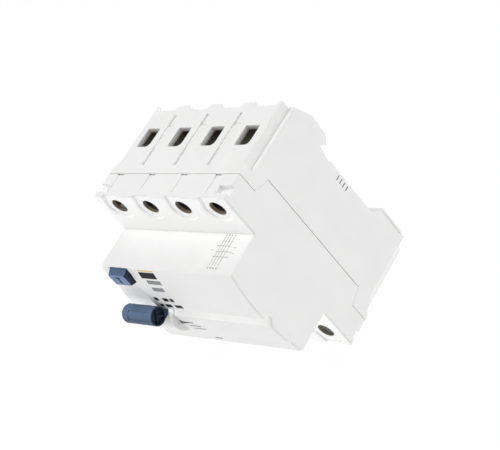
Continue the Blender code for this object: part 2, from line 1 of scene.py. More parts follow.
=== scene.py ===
"""The looks of a four-pole residual current device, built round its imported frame.

Lengths are millimetres until a piece is finished. A point is (x, depth, z): x to the right, depth
measured back from the nose's front edge, z up. The frame's origin is the centre of the rail seat.
"""

import json
import math

import bmesh
import bpy
from mathutils import Matrix, Vector


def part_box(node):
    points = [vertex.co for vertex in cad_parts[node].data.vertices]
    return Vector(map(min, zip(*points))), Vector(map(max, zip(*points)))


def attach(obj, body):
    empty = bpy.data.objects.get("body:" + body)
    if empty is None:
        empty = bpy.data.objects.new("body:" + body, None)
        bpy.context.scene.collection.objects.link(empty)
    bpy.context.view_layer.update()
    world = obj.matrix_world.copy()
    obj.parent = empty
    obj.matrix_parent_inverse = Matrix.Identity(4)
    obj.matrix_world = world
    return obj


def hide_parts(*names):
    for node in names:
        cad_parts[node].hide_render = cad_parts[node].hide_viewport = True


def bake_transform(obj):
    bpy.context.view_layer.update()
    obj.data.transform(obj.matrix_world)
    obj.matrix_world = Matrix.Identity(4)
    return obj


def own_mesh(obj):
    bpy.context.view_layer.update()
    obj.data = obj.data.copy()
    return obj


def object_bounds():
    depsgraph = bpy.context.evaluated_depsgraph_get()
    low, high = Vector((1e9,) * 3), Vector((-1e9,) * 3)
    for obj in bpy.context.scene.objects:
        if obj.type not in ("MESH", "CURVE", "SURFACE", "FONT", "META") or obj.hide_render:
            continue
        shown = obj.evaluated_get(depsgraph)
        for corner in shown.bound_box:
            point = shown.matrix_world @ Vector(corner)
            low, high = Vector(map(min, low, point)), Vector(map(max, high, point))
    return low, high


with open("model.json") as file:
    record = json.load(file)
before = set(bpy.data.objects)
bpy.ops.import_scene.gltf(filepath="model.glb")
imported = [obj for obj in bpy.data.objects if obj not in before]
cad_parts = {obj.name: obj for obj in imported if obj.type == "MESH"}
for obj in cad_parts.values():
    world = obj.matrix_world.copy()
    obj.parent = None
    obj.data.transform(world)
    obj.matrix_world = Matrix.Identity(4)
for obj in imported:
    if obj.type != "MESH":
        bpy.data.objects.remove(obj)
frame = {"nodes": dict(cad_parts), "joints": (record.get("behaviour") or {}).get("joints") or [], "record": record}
CAD_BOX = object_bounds()

MM = 0.001
NOSE_DEPTH = 60.1
GAP = 0.3
FAR = 100.0  # past everything, for cutters


def spot(x, depth, z):
    """A point of the frame, still in millimetres."""
    return Vector((x, depth - NOSE_DEPTH, z))


def limits(node):
    """A CAD node's lowest and highest corner as (x, depth, z) in millimetres."""
    low, high = (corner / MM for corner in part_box(node))
    shift = Vector((0, NOSE_DEPTH, 0))
    return low + shift, high + shift


def joint(name):
    """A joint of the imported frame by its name."""
    return next(j for j in frame["joints"] if j["name"] == name)


# Driving sizes, read from the frame
COVER_LOW, COVER_HIGH = limits("front_cover")
HALF_WIDTH = COVER_HIGH.x
HALF_HEIGHT = COVER_HIGH.z
SCREW_BOXES = [limits(f"line_terminal_screw_{n}") for n in (1, 2, 3, 4)]
POLE_X = [(low.x + high.x) / 2 for low, high in SCREW_BOXES]
SCREW_Z = (SCREW_BOXES[0][0].z + SCREW_BOXES[0][1].z) / 2
WALL_X = [(a + b) / 2 for a, b in zip(POLE_X, POLE_X[1:])]
PIVOT = (joint("handle_swing")["pos_m"][1] / MM + NOSE_DEPTH, joint("handle_swing")["pos_m"][2] / MM)
DRUM_LOW, DRUM_HIGH = limits("handle_drum")
DRUM_R = PIVOT[0] - DRUM_LOW.y
GRIP_LOW, GRIP_HIGH = limits("handle_grip")
BUTTON_LOW, BUTTON_HIGH = limits("test_button")
BUTTON_X = (BUTTON_LOW.x + 1.1, BUTTON_HIGH.x - 1.1)
BUTTON_Z = (BUTTON_LOW.z + 1.0, BUTTON_HIGH.z)
GRIP_CENTRE = (-6.75, 1.6)
GRIP_R = 3.7
WEB_ANGLE = math.radians(39.5)
CRANK_R = 3.6
PIN_HOLE_R = 1.4

# Casing
NOSE_HALF = 22.3
SHOULDER = 17.0
WALL = 1.8
COVER_EDGE = 0.7
BASE_EDGE = 0.5
SEAM_END = 27.9
SEAM_MID = 34.8
SEAM_STEP_Z = 31.8
SEAM_RUN_Z = 29.8
TOP_GAP = 0.2
RUN_GAP = 0.26
SLANT_GAP = 0.05
LEDGE_X = 34.0
LEDGE_Z = 36.7
CROWN_Z = 2.5
CROWN_BOW = 180.0


# ---------------- mesh tools


def rounded(outline, steps=4):
    """A closed outline whose (u, v, radius) corners become arcs; (u, v) corners stay sharp."""
    made = []
    for i, point in enumerate(outline):
        here = Vector(point[:2])
        radius = point[2] if len(point) > 2 else 0.0
        if radius <= 0:
            made.append(here)
            continue
        before = Vector(outline[i - 1][:2]) - here
        after = Vector(outline[(i + 1) % len(outline)][:2]) - here
        half = before.angle(after) / 2
        reach = min(radius / math.tan(half), 0.48 * before.length, 0.48 * after.length)
        start, end = here + before.normalized() * reach, here + after.normalized() * reach
        for k in range(steps + 1):
            t = k / steps
            made.append(start * (1 - t) ** 2 + here * (2 * t * (1 - t)) + end * t * t)
    return made


def rectangle(u0, u1, v0, v1, radius=0.0):
    """A rectangle's outline, with rounded corners if a radius is given."""
    corners = [(u0, v0), (u1, v0), (u1, v1), (u0, v1)]
    return [(u, v, radius) for u, v in corners] if radius else corners


def signed_area(outline):
    """Positive when the outline runs anticlockwise."""
    pairs = zip(outline, outline[1:] + outline[:1])
    return sum(a[0] * b[1] - b[0] * a[1] for a, b in pairs) / 2


def inset(outline, width):
    """The outline moved inwards by a width, or outwards if it is negative; radii follow."""
    turn = 1 if signed_area(outline) > 0 else -1
    made = []
    for i, point in enumerate(outline):
        here = Vector(point[:2])
        into = (here - Vector(outline[i - 1][:2])).normalized()
        out = (Vector(outline[(i + 1) % len(outline)][:2]) - here).normalized()
        n_in, n_out = Vector((-into.y, into.x)) * turn, Vector((-out.y, out.x)) * turn
        middle = (n_in + n_out).normalized()
        moved = here + middle * (width / max(0.35, middle.dot(n_out)))
        if len(point) > 2:
            convex = into.cross(out) * turn > 0
            radius = point[2] - width if convex else point[2] + width
            made.append((moved.x, moved.y, max(0.02, radius)))
        else:
            made.append((moved.x, moved.y))
    return made


RIM_STEPS = 3
AXES = {
    "X": lambda u, v, t: spot(t, u, v),
    "Y": lambda u, v, t: spot(u, t, v),
    "Z": lambda u, v, t: spot(u, v, t),
}


def skin(mesh, rings):
    """Closes a solid over rings of vertices that all have the same count."""
    for first, second in zip(rings, rings[1:]):
        for k in range(len(first)):
            after = (k + 1) % len(first)
            mesh.faces.new([first[k], first[after], second[after], second[k]])
    mesh.faces.new(list(reversed(rings[0])))
    mesh.faces.new(rings[-1])
    bmesh.ops.recalc_face_normals(mesh, faces=mesh.faces)
    return mesh


def loft(outline, axis, stations):
    """A closed solid through copies of an outline: stations are (place on the axis, inset)."""
    mesh = bmesh.new()
    rings = []
    for place, width in stations:
        ring = rounded(inset(outline, width) if width else outline)
        rings.append([mesh.verts.new(AXES[axis](u, v, place)) for u, v in ring])
    return skin(mesh, rings)


def prism(outline, axis, a, b, edge=0.0, edge_b=None):
    """An outline stretched from a to b, with rounded rims of the given width at each end."""
    edge_b = edge if edge_b is None else edge_b
    way = 1 if b > a else -1
    turns = [math.pi / 2 * k / RIM_STEPS for k in range(RIM_STEPS + 1)]
    start = [(a + way * edge * (1 - math.cos(t)), edge * (1 - math.sin(t))) for t in turns]
    end = [(b - way * edge_b * (1 - math.cos(t)), edge_b * (1 - math.sin(t))) for t in reversed(turns)]
    return loft(outline, axis, (start if edge else start[:1]) + (end if edge_b else end[-1:]))


def flared(outline, axis, inside, surface, flare):
    """A cutter that opens out by a small flare where it leaves the surface."""
    way = 1 if surface > inside else -1
    near = [(surface - way * flare * s, -flare * (1 - s) ** 2) for s in (1.0, 0.6, 0.3, 0.0)]
    return loft(outline, axis, [(inside, 0.0)] + near + [(surface + way * 2, -flare)])


def stack(levels):
    """A closed solid along depth through rounded rectangles: (depth, x0, x1, z0, z1, radius) for each."""
    mesh = bmesh.new()
    rings = []
    for depth, x0, x1, z0, z1, radius in levels:
        ring = rounded(rectangle(x0, x1, z0, z1, radius), 3)
        rings.append([mesh.verts.new(spot(u, depth, v)) for u, v in ring])
    return skin(mesh, rings)


def box(lo, hi, edge=0.0):
    """A box between two corners, with rounded edges if an edge width is given."""
    (x0, d0, z0), (x1, d1, z1) = map(min, lo, hi), map(max, lo, hi)
    return prism(rectangle(x0, x1, z0, z1, edge), "Y", d0, d1, edge)


def turned(profile, axis, centre, sides=48):
    """A solid turned from (place on the axis, radius) points; centre is the other two values."""
    mesh = bmesh.new()
    turns = [2 * math.pi * k / sides for k in range(sides)]
    rings = []
    for place, radius in profile:
        ring = [(centre[0] + radius * math.cos(t), centre[1] + radius * math.sin(t)) for t in turns]
        rings.append([mesh.verts.new(AXES[axis](u, v, place)) for u, v in ring])
    return skin(mesh, rings)


def disc(axis, centre, radius, a, b, edge=0.0, sides=48):
    """A round bar from a to b with rounded rims."""
    profile = [(a, radius - edge), (a + edge * 0.3, radius - edge * 0.3), (a + edge, radius)]
    profile += [(b - edge, radius), (b - edge * 0.3, radius - edge * 0.3), (b, radius - edge)]
    if not edge:
        profile = [(a, radius), (b, radius)]
    return turned(profile, axis, centre, sides)


def arc(centre, radius, start, stop, steps):
    """Points on an arc; angles in degrees run from +u towards +v."""
    turns = [math.radians(start + (stop - start) * k / steps) for k in range(steps + 1)]
    return [(centre[0] + radius * math.cos(t), centre[1] + radius * math.sin(t)) for t in turns]


def solid(name, mesh):
    """A mesh object still in millimetres."""
    data = bpy.data.meshes.new(name)
    mesh.to_mesh(data)
    mesh.free()
    made = bpy.data.objects.new(name, data)
    bpy.context.scene.collection.objects.link(made)
    return made


TOOLS = []
SMOOTH_ANGLE = math.radians(32)


def shape(target, tool, operation):
    """Adds a boolean step to a piece; its tool is kept until the piece is finished."""
    guide = solid(f"tool_{len(TOOLS)}", tool)
    guide.hide_render = True
    TOOLS.append(guide)
    step = target.modifiers.new(operation.lower(), "BOOLEAN")
    step.operation = operation
    step.solver = "MANIFOLD"
    step.object = guide


def cut(target, tool):
    shape(target, tool, "DIFFERENCE")


def join(target, tool):
    shape(target, tool, "UNION")


def soften(made):
    """Leans normals towards the larger faces."""
    weigh = made.modifiers.new("weighted normals", "WEIGHTED_NORMAL")
    weigh.keep_sharp = True


def finish(made, body, looks, replaced=()):
    """Applies a piece's cuts, brings it to metres, gives it its material and, when one is given, its body."""
    bpy.context.view_layer.update()
    graph = bpy.context.evaluated_depsgraph_get()
    data = bpy.data.meshes.new_from_object(made.evaluated_get(graph))
    data.name = made.name
    made.modifiers.clear()
    made.data = data
    data.transform(Matrix.Scale(MM, 4))
    data.materials.clear()
    data.materials.append(looks)
    data.shade_smooth()
    data.set_sharp_from_angle(angle=SMOOTH_ANGLE)
    soften(made)
    if body:
        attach(made, body)
    if replaced:
        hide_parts(*replaced)
    while TOOLS:
        bpy.data.objects.remove(TOOLS.pop())
    return made


# ---------------- materials


class Nodes:
    """A short way to write a node material."""

    def __init__(self, name):
        self.made = bpy.data.materials.new(name)
        self.made.use_nodes = True
        self.tree = self.made.node_tree
        self.shader = self.tree.nodes["Principled BSDF"]
        self.place = self.tree.nodes.new("ShaderNodeTexCoord").outputs["Object"]

    def node(self, kind, **values):
        made = self.tree.nodes.new(kind)
        for key, value in values.items():
            if hasattr(made, key):
                setattr(made, key, value)
            else:
                made.inputs[key.replace("_", " ")].default_value = value
        return made

    def link(self, a, b):
        self.tree.links.new(a, b)

    def scaled(self, x, y, z):
        """Object coordinates stretched by three factors, per metre."""
        made = self.node("ShaderNodeMapping")
        made.inputs["Scale"].default_value = (x, y, z)
        self.link(self.place, made.inputs["Vector"])
        return made.outputs["Vector"]

    def noise(self, scale, detail=3.0, roughness=0.5, vector=None):
        """Noise whose cells are about 1 / scale metres."""
        made = self.node("ShaderNodeTexNoise", Scale=scale, Detail=detail, Roughness=roughness)
        self.link(vector or self.place, made.inputs["Vector"])
        return made.outputs["Fac"]

    def spread(self, value, low, high, a=0.0, b=1.0):
        """A value's stretch from a to b brought to low to high, and held there beyond its ends."""
        made = self.node("ShaderNodeMapRange", From_Min=a, From_Max=b, To_Min=low, To_Max=high)
        self.link(value, made.inputs["Value"])
        return made.outputs["Result"]

    def mix(self, factor, a, b):
        """Two colours mixed; each may be a tuple or a socket."""
        made = self.node("ShaderNodeMix", data_type="RGBA")
        for value, key in ((factor, 0), (a, 6), (b, 7)):
            if isinstance(value, (tuple, float)):
                full = (*value, 1.0) if isinstance(value, tuple) else value
                made.inputs[key].default_value = full
            else:
                self.link(value, made.inputs[key])
        return made.outputs[2]

    def bump(self, *layers, edge=0.0):
        """Stacked bump layers of (height, distance in metres), over softened edges."""
        normal = None
        if edge:
            soft = self.node("ShaderNodeBevel", samples=4, Radius=edge)
            normal = soft.outputs["Normal"]
        for height, distance in layers:
            made = self.node("ShaderNodeBump", Strength=1.0, Distance=distance)
            self.link(height, made.inputs["Height"])
            if normal:
                self.link(normal, made.inputs["Normal"])
            normal = made.outputs["Normal"]
        self.link(normal, self.shader.inputs["Normal"])

    def near(self, distance, alone=False):
        """Open sky seen from a point: 1 in the open, 0 deep in a corner."""
        made = self.node("ShaderNodeAmbientOcclusion", samples=6, only_local=alone, Distance=distance)
        return made.outputs["AO"]

    def calc(self, operation, *values):
        """A math node's result; each value is a number or a socket."""
        made = self.node("ShaderNodeMath", operation=operation)
        for value, socket in zip(values, made.inputs):
            if isinstance(value, (float, int)):
                socket.default_value = value
            else:
                self.link(value, socket)
        return made.outputs[0]

    def times(self, first, *others):
        for value in others:
            first = self.calc("MULTIPLY", first, value)
        return first

    def most(self, first, *others):
        for value in others:
            first = self.calc("MAXIMUM", first, value)
        return first

    def split(self, vector):
        """The three components of a vector."""
        made = self.node("ShaderNodeSeparateXYZ")
        self.link(vector, made.inputs[0])
        return made.outputs

    def between(self, axis, low, high, fade=0.1):
        """1 where the distance from the frame's middle plane along an axis lies between two values in mm."""
        size = self.calc("ABSOLUTE", self.split(self.place)["XYZ".index(axis)])
        rise = self.spread(size, 0.0, 1.0, low * MM, (low + 0.3) * MM)
        fall = self.spread(size, 1.0, 0.0, (high - fade) * MM, high * MM)
        return self.times(rise, fall)

    def within(self, half_width):
        """1 nearer to the middle than a distance along x in mm."""
        return self.between("X", -1, half_width)

    def depths(self, front, back):
        """1 between two depths in mm, measured back from the nose."""
        return self.between("Y", NOSE_DEPTH - back, NOSE_DEPTH - front)

    def put(self, key, value):
        """Sets one of the shader's inputs."""
        if isinstance(value, (float, int)):
            self.shader.inputs[key].default_value = value
        elif isinstance(value, tuple):
            socket = self.shader.inputs[key]
            socket.default_value = (*value, 1.0) if socket.type == "RGBA" else value
        else:
            self.link(value, self.shader.inputs[key])


def painted_shade_in_holes(m):
    """1 inside the screw holes, the terminal chambers and the wire entries, where the walls get a painted dark
    brown shade.
    """
    holes = m.times(m.depths(18, 28), m.within(HALF_WIDTH - 0.8))
    chambers = m.times(m.depths(28, 40), m.within(LEDGE_X - 0.5))
    front = m.times(m.most(holes, chambers), m.between("Z", 30.2, 38.9))
    top = m.times(m.depths(40.6, 51.1), m.between("Z", 26, HALF_HEIGHT - 0.5, 2.2), m.within(32.5))
    return m.most(front, top)


def painted_glow_in_hollows(m):
    """Painted light: how strongly the plastic glows in hollows, on the nose, in its groove and at the shoulder,
    with the glow kept out of fine crevices.
    """
    wide = m.spread(m.near(0.025, alone=True), 0.12, 0.0, 0.25, 0.86)
    front = m.times(m.spread(m.near(0.012), 0.60, 0.0, 0.10, 0.85), m.depths(-2, 6))
    groove = m.spread(m.near(0.008, alone=True), 0.5, 0.0, 0.3, 0.95)
    groove = m.times(groove, m.between("Z", -1, 6), m.depths(-2, 3.5))
    shoulder = m.times(m.depths(16.8, 18.4), m.between("Z", 22.6, 40.6), m.within(HALF_WIDTH - 0.5), 0.15)
    crevice = m.spread(m.near(0.0015), 0.0, 1.0, 0.35, 0.85)
    return m.times(m.most(wide, front, groove, shoulder), crevice)


def moulded_white():
    """White moulded plastic: faint mottling, a fine satin texture, a painted glow in the hollows, painted shade in
    tight corners and a painted dark brown shade inside the holes.
    """
    m = Nodes("moulded_white")
    mottle = m.noise(90, 2.0)
    grain = m.noise(2600, 3.0, 0.6)
    base = m.mix(m.spread(mottle, 0.0, 1.0, 0.3, 0.7), (0.875, 0.878, 0.872), (0.895, 0.897, 0.893))
    # Painted shade: the plastic is darkened and warmed in tight corners.
    painted_corner_shade = m.mix(m.spread(m.near(0.0012), 0.0, 1.0, 0.1, 0.6), (0.85, 0.847, 0.832), base)
    # Painted shade: inside the holes, chambers and entries the plastic is coloured dark brown, standing in for
    # deep shade.
    inside = painted_shade_in_holes(m)
    m.put("Base Color", m.mix(inside, painted_corner_shade, (0.31, 0.26, 0.185)))
    # Painted light: the plastic glows in hollows and at the nose, groove and shoulder, but not inside the holes.
    m.put("Emission Color", (1.0, 1.0, 0.99))
    m.put("Emission Strength", m.times(painted_glow_in_hollows(m), m.spread(inside, 1.0, 0.0)))
    m.put("Roughness", m.spread(grain, 0.36, 0.46))
    m.put("Specular IOR Level", 0.45)
    m.put("Subsurface Weight", 0.05)
    m.put("Subsurface Radius", (1.0, 0.9, 0.8))
    m.put("Subsurface Scale", 0.0006)
    m.bump((grain, 0.000006), (m.noise(400, 2.0), 0.000012), edge=0.00012)
    return m.made


def moulded_blue():
    """Blue-grey moulded plastic with a spark-eroded texture and painted shade in its corners."""
    m = Nodes("moulded_blue")
    grain = m.noise(3800, 4.0, 0.65)
    patch = m.noise(160, 2.0)
    base = m.mix(m.spread(patch, 0.0, 1.0, 0.3, 0.7), (0.024, 0.038, 0.066), (0.032, 0.050, 0.086))
    # Painted shade: the colour darkens in corners and hollows.
    m.put("Base Color", m.mix(m.spread(m.near(0.002), 0.0, 1.0, 0.2, 0.8), (0.018, 0.027, 0.042), base))
    m.put("Roughness", m.spread(grain, 0.40, 0.54))
    m.put("Specular IOR Level", 0.12)
    m.bump((grain, 0.000010), edge=0.00015)
    return m.made


def dark_moulded():
    """Black glass-filled plastic with short pale fibres near the surface."""
    m = Nodes("dark_moulded")
    fibre = m.noise(1.0, 4.0, 0.6, m.scaled(900, 6000, 6000))
    base = m.mix(m.spread(fibre, 0.0, 1.0, 0.58, 0.75), (0.030, 0.030, 0.033), (0.075, 0.075, 0.08))
    m.put("Base Color", base)
    m.put("Roughness", m.spread(fibre, 0.62, 0.40, 0.3, 0.7))
    m.bump((fibre, 0.000015), edge=0.00012)
    return m.made


def metal(name, low, high, rough, along):
    """A metal between two tints, with drawn or rolled lines along one axis and painted shade in its corners."""
    m = Nodes(name)
    stretch = [9000.0, 9000.0, 9000.0]
    stretch["XYZ".index(along)] = 300.0
    lines = m.noise(1.0, 3.0, 0.6, m.scaled(*stretch))
    cloud = m.noise(260, 4.0, 0.6)
    base = m.mix(m.spread(cloud, 0.0, 1.0, 0.3, 0.7), low, high)
    # Painted shade: the metal darkens in its corners.
    corner_shade_tint = tuple(c * 0.45 for c in low)
    m.put("Base Color", m.mix(m.spread(m.near(0.002), 0.0, 1.0, 0.1, 0.7), corner_shade_tint, base))
    m.put("Metallic", 1.0)
    m.put("Roughness", m.spread(lines, rough[0], rough[1], 0.3, 0.7))
    m.bump((lines, 0.000006), (cloud, 0.00001), edge=0.0001)
    return m.made


TAPE_TURNS = 22


def wound_tape():
    """Ring core covered in overlapping turns of tape."""
    m = Nodes("wound_tape")
    low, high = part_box("toroid_core")
    shift = m.node("ShaderNodeVectorMath", operation="SUBTRACT")
    shift.inputs[1].default_value = (low + high) / 2
    m.link(m.place, shift.inputs[0])
    across, along, _ = m.split(shift.outputs[0])
    lap = m.calc("FRACT", m.calc("MULTIPLY", m.calc("ARCTAN2", across, along), TAPE_TURNS / (2 * math.pi)))
    base = m.mix(m.spread(lap, 0.0, 1.0, 0.0, 0.9), (0.075, 0.09, 0.12), (0.13, 0.155, 0.20))
    m.put("Base Color", base)
    m.put("Roughness", m.spread(m.noise(2000, 3.0), 0.35, 0.55))
    m.bump((lap, 0.00012), (m.noise(2500, 3.0), 0.00001))
    return m.made


def lacquer():
    """Resistor lacquer with painted rings, and tinned ends where the wires leave."""
    m = Nodes("lacquer")
    low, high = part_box("test_resistor")
    share = m.spread(m.split(m.place)[0], 0.0, 1.0, low.x, high.x)
    tan, wire = (0.42, 0.28, 0.15, 1), (0.55, 0.55, 0.53, 1)
    painted = [(0.30, 0.345, (0.20, 0.02, 0.01, 1)), (0.41, 0.455, (0.02, 0.015, 0.01, 1))]
    painted += [(0.52, 0.565, (0.30, 0.12, 0.01, 1)), (0.66, 0.70, (0.45, 0.30, 0.05, 1))]
    bands = [(0.0, wire), (0.215, tan)]
    for start, end, colour in painted:
        bands += [(start, colour), (end, tan)]
    bands.append((0.785, wire))
    ramp = m.node("ShaderNodeValToRGB")
    ramp.color_ramp.interpolation = "CONSTANT"
    steps = ramp.color_ramp.elements
    for step, (position, colour) in zip(steps, bands):
        step.position, step.color = position, colour
    for position, colour in bands[len(steps):]:
        steps.new(position).color = colour
    m.link(share, ramp.inputs["Fac"])
    m.put("Base Color", ramp.outputs["Color"])
    m.put("Roughness", m.spread(m.noise(900, 3.0), 0.25, 0.4))
    m.bump((m.noise(700, 2.0), 0.00002))
    return m.made


def ink(name, colour):
    """Printed ink: slightly uneven cover over the plastic."""
    m = Nodes(name)
    speck = m.noise(5200, 3.0, 0.7)
    paler = tuple(min(1.0, c * 1.35 + 0.02) for c in colour)
    m.put("Base Color", m.mix(m.spread(speck, 0.0, 1.0, 0.45, 0.75), colour, paler))
    m.put("Roughness", m.spread(speck, 0.45, 0.65))
    m.put("Specular IOR Level", 0.1)
    m.bump((speck, 0.000004))
    return m.made


WHITE = moulded_white()
BLUE = moulded_blue()
DARK = dark_moulded()
ZINC = metal("zinc_plate", (0.50, 0.49, 0.44), (0.66, 0.65, 0.60), (0.26, 0.44), "Z")
WIRE = metal("drawn_wire", (0.48, 0.48, 0.48), (0.62, 0.62, 0.62), (0.18, 0.32), "Y")
COPPER = metal("rolled_copper", (0.56, 0.26, 0.15), (0.78, 0.42, 0.27), (0.24, 0.42), "Z")
BRASS = metal("rolled_brass", (0.58, 0.42, 0.18), (0.74, 0.58, 0.30), (0.24, 0.40), "Z")
TAPE = wound_tape()
LACQUER = lacquer()
BLACK_INK = ink("black_ink", (0.012, 0.012, 0.015))
GREY_INK = ink("grey_ink", (0.16, 0.16, 0.17))
PALE_INK = ink("pale_ink", (0.44, 0.44, 0.45))
YELLOW_INK = ink("yellow_ink", (0.78, 0.55, 0.12))


# ---------------- cover


def crown(z):
    """Depth of the nose's bowed front above the groove."""
    return COVER_LOW.y + (z - CROWN_Z) ** 2 / CROWN_BOW


def nose_outline():
    """The nose's front from its top corner to its bottom corner, as (depth, z, radius)."""
    bow = [(crown(z), z) for z in (19.0, 16.0, 13.0, 10.0, 7.0, 4.5)]
    groove = [(-2.25, 0.35, 0.35), (-0.65, -0.45, 0.3), (-0.1, -1.5, 0.5)]
    groove += [(-0.3, -2.7, 0.4), (-2.2, -4.4, 0.6)]
    panel = [(-1.45, -13.8, 0.6), (-1.25, -14.5, 0.2), (-0.6, -15.2, 0.3), (-0.05, -21.0, 0.4)]
    return [(-0.3, NOSE_HALF - 0.25, 0.9)] + bow + groove + panel + [(0.9, -NOSE_HALF + 0.15, 0.7)]


def cover_outline():
    """The cover's side view, run on past the seam, which is cut afterwards."""
    upper = [(48, HALF_HEIGHT), (SHOULDER, HALF_HEIGHT, 0.5), (SHOULDER, NOSE_HALF + 0.1, 0.4)]
    lower = [(SHOULDER, -NOSE_HALF, 0.4), (SHOULDER, -HALF_HEIGHT, 0.5), (48, -HALF_HEIGHT)]
    return upper + nose_outline() + lower


def seam_line(top, slant, run):
    """The seam from its upper end to its lower end, moved back by a gap on each of its parts."""
    drop, reach = SEAM_STEP_Z - SEAM_RUN_Z, SEAM_MID - SEAM_END
    lift = slant * math.hypot(drop, reach) / reach
    upper = [(SEAM_END + top, FAR), (SEAM_END + top, SEAM_STEP_Z + lift - top * drop / reach)]
    upper += [(SEAM_MID + run, SEAM_RUN_Z + lift - run * drop / reach)]
    return upper + [(d, -z) for d, z in reversed(upper)]


def front_cover():
    """The cover's shell, open at the back, with the handle's opening and its bracket."""
    cover = solid("cover_shell", prism(cover_outline(), "X", -HALF_WIDTH, HALF_WIDTH, COVER_EDGE))
    cut(cover, prism(seam_line(0, 0, 0) + [(FAR, -FAR), (FAR, FAR)], "X", -FAR, FAR))
    inner_x, nose_in, body_in = HALF_WIDTH - WALL, 1.9, SHOULDER + 2.4
    eaves, roof = HALF_HEIGHT - WALL, NOSE_HALF - WALL
    upper = [(50, eaves), (body_in, eaves), (body_in, roof), (nose_in, roof)]
    lower = [(d, -z) for d, z in reversed(upper)]
    cut(cover, prism(upper + lower, "X", -inner_x, inner_x))
    join(cover, box((DRUM_HIGH.x + 0.8, 1.0, -10.8), (DRUM_HIGH.x + 2.2, 9.0, -3.6)))
    cut(cover, disc("X", PIVOT, DRUM_R + GAP, DRUM_LOW.x - GAP, DRUM_HIGH.x + GAP, sides=96))
    cut(cover, disc("X", PIVOT, PIN_HOLE_R, DRUM_HIGH.x, DRUM_HIGH.x + 4, sides=24))
    button_well(cover)
    for side in (1, -1):
        for x in POLE_X:
            screw_bay(cover, x, side)
            top_strip(cover, x, side)
        for end in (1, -1):
            corner_notch(cover, end, side)
    return finish(cover, "casing", WHITE, ["front_cover"])


def button_well(cover):
    """The sunk floor round the test button, its ramp down to the handle, and the button's hole."""
    floor, ramp, right = -0.7, -1.5, BUTTON_X[1] + 0.7
    outline = [(-9, 24.5), (-9, -0.9), (crown(-0.9), -0.9), (ramp, 0.1, 0.4), (ramp + 0.1, 6.2, 0.4)]
    outline += [(floor, 9.3, 0.4), (floor, 21.6, 0.3), (0.2, 24.5)]
    cut(cover, prism(outline, "X", -HALF_WIDTH - 1, right))
    (x0, x1), (z0, z1), room = BUTTON_X, BUTTON_Z, 0.25
    cut(cover, stack([(depth, x0 - room, x1 + room, z0 - room, z1 + room, 0.4) for depth in (-6, 5.2)]))


def screw_bay(cover, x, side):
    """A shallow bay open at the top edge, and the round screw hole in its floor."""
    middle, radius, floor, mouth, hole = 35.3, 6.0, SHOULDER + 0.85, 3.8, 3.3
    bay = [(mouth - 0.4, HALF_HEIGHT + 3), (mouth, HALF_HEIGHT)] + arc((0, middle), radius, 0, -180, 24)
    bay += [(-mouth, HALF_HEIGHT), (0.4 - mouth, HALF_HEIGHT + 3)]
    cut(cover, flared([(x + u, side * v) for u, v in bay], "Y", floor, SHOULDER, 0.7))
    rim = [(floor - 2, hole + 0.2), (floor, hole + 0.2), (floor + 0.1, hole + 0.08)]
    rim += [(floor + 0.3, hole), (floor + 5, hole)]
    cut(cover, turned(rim, "Y", (x - 0.15, side * SCREW_Z)))


def top_strip(cover, x, side):
    """The catch window at the seam and the fine parting line in front of it."""
    outside, front = side * (HALF_HEIGHT + 1), SEAM_END - 0.6
    cut(cover, box((x - 3.1, front, side * (HALF_HEIGHT - 0.7)), (x + 0.5, SEAM_END + 1, outside)))
    cut(cover, box((x - 2.3, 19.5, side * (HALF_HEIGHT - 0.15)), (x - 2.0, front, outside)))


def corner_notch(cover, end, side):
    """The catch pocket at each outer corner of the strips behind the shoulder."""
    inner, front, back, floor = 29.9, 19.3, 22.8, 39.4
    low, high = side * (floor - 1.5), side * (floor + 1)
    join(cover, box((end * (inner - 1), front - 1, low), (end * 35, back + 1, high)))
    outline = [(end * inner, front, 0.3), (end * 38, front), (end * 38, back), (end * inner, back, 0.3)]
    cut(cover, prism(outline, "Z", side * floor, side * (HALF_HEIGHT + 1)))
    cut(cover, box((end * 30.5, back - 0.8, side * (floor - 0.3)), (end * 33.2, back, side * (floor + 0.5))))


# ---------------- base


def base_outline():
    """The base's side view, run on past the seam, which is cut afterwards."""
    top = [(12, HALF_HEIGHT), (30.5, HALF_HEIGHT, 0.3), (32.3, LEDGE_Z, 0.5), (62.3, LEDGE_Z, 0.8)]
    hook = [(66.0, 28.2, 1.2), (65.6, 19.0, 0.6), (62.9, 16.1, 0.25), (60.6, 18.3, 0.4), (59.4, 11.7, 0.3)]
    seat = [(NOSE_DEPTH, 10.3, 0.3), (NOSE_DEPTH, -17.7, 0.8)]
    heel = [(65.4, -21.6, 0.6), (65.4, -35.2, 0.3), (64.4, -36.0, 0.2), (64.9, -37.6, 0.3)]
    foot = [(36.3, -37.6, 0.4), (35.3, -39.0, 0.3), (31.5, -39.5, 0.3), (30.4, -HALF_HEIGHT, 0.3)]
    return top + hook + seat + heel + foot + [(12, -HALF_HEIGHT)]


def rear_edge():
    """The inner block's outline in (x, depth) with its toothed rear edge."""
    notch, flank, back, floor = 9.4, 1.3, 61.5, 59.4
    outline = [(-LEDGE_X, 24), (LEDGE_X, 24), (LEDGE_X, back, 0.5)]
    for x in reversed(POLE_X):
        outline += [(x + notch / 2 + flank, back, 0.4), (x + notch / 2, floor, 0.4)]
        outline += [(x - notch / 2, floor, 0.4), (x - notch / 2 - flank, back, 0.4)]
    return outline + [(-LEDGE_X, back, 0.5)]


